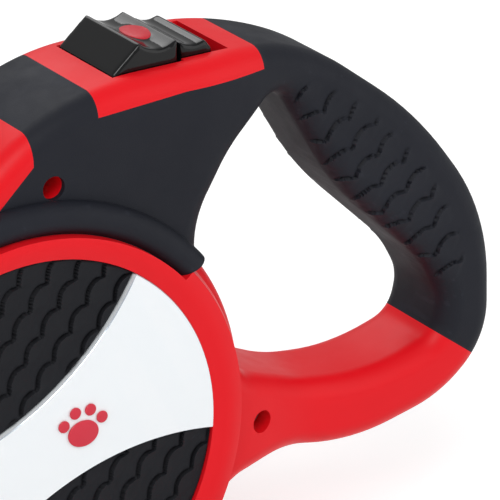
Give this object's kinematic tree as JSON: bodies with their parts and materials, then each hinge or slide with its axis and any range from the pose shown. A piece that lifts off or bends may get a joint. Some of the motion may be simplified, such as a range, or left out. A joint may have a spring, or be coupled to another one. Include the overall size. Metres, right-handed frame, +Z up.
{
  "type": "retractable leash",
  "caption": "Hand-held retractable leash: spring-wound tape reel in a rounded casing with a closed hand loop, brake and lock buttons and a forward tape outlet.",
  "frame": {"origin": "middle of the hand grip, on the casing's middle plane", "axes": "+X back towards the hand, away from the tape outlet; +Y to the far side of the casing, along the reel's spindle; +Z up through the buttons"},
  "size_m": [0.2216, 0.05, 0.1645],
  "materials": {
    "red_plastic": "satin moulded",
    "red_gloss": "gloss",
    "soft_black": "soft-touch matte",
    "pad_rubber": "scale relief, matte",
    "silver_plate": "polished",
    "steel": "zinc plated",
    "spring_steel": "blued",
    "black_nylon": "moulded",
    "grey_nylon": "moulded",
    "tape_webbing": "woven",
    "brass_bush": "turned",
    "gloss_black": "gloss",
    "roller_acetal": "moulded"
  },
  "bodies": {
    "root": {"near_shell": "red_plastic", "far_shell": "red_plastic", "near_overmould": "soft_black", "far_overmould": "soft_black", "button_bezel": "red_plastic", "near_side_ring": "red_plastic", "far_side_ring": "red_plastic", "near_side_pad": "pad_rubber", "far_side_pad": "pad_rubber", "near_badge_plate": "silver_plate", "far_badge_plate": "silver_plate", "near_paw_emblem": "red_plastic", "far_paw_emblem": "red_plastic", "case_screws": "steel", "spindle": "steel", "pawl_pin": "steel", "pawl_spacer": "black_nylon", "brake_spring": "spring_steel", "button_chassis": "black_nylon", "lock_detent_spring": "spring_steel", "tape_guide": "black_nylon", "upper_roller_pin": "steel", "lower_roller_pin": "steel"},
    "reel": {"reel_drum": "grey_nylon", "reel_flange": "grey_nylon", "wound_tape": "tape_webbing", "spring_case": "grey_nylon", "power_spring": "spring_steel", "near_bush": "brass_bush", "far_bush": "brass_bush"},
    "brake": {"brake_button": "gloss_black", "brake_inlay": "red_gloss"},
    "pawl": {"brake_pawl": "black_nylon"},
    "lock": {"lock_button": "gloss_black"},
    "upper_roller": {"upper_roller": "roller_acetal"},
    "lower_roller": {"lower_roller": "roller_acetal"}
  },
  "joints": [
    {"name": "reel_spin", "type": "hinge", "parent": "root", "child": "reel", "pos_m": [-0.115, 0, -0.048], "axis": [0, 1, 0], "continuous": true},
    {"name": "brake_press", "type": "slide", "parent": "root", "child": "brake", "axis": [0, 0, -1], "range_m": [0, 0.0035], "stiffness_N_per_m": 900, "springref_m": -0.003, "deforming": ["brake_spring"]},
    {"name": "pawl_swing", "type": "hinge", "parent": "root", "child": "pawl", "pos_m": [-0.06931, 0, -0.01087], "axis": [0, -1, 0], "range_deg": [0, 11.61]},
    {"name": "lock_slide", "type": "slide", "parent": "root", "child": "lock", "axis": [1, 0, 0], "range_m": [0, 0.004]},
    {"name": "upper_roller_spin", "type": "hinge", "parent": "root", "child": "upper_roller", "pos_m": [-0.17871, 0, -0.03199], "axis": [0, 1, 0], "continuous": true},
    {"name": "lower_roller_spin", "type": "hinge", "parent": "root", "child": "lower_roller", "pos_m": [-0.17515, 0, -0.03707], "axis": [0, 1, 0], "continuous": true}
  ],
  "couplings": [
    {"joint": "pawl_swing", "follows": "brake_press", "rad_per_m": 57.391}
  ]
}
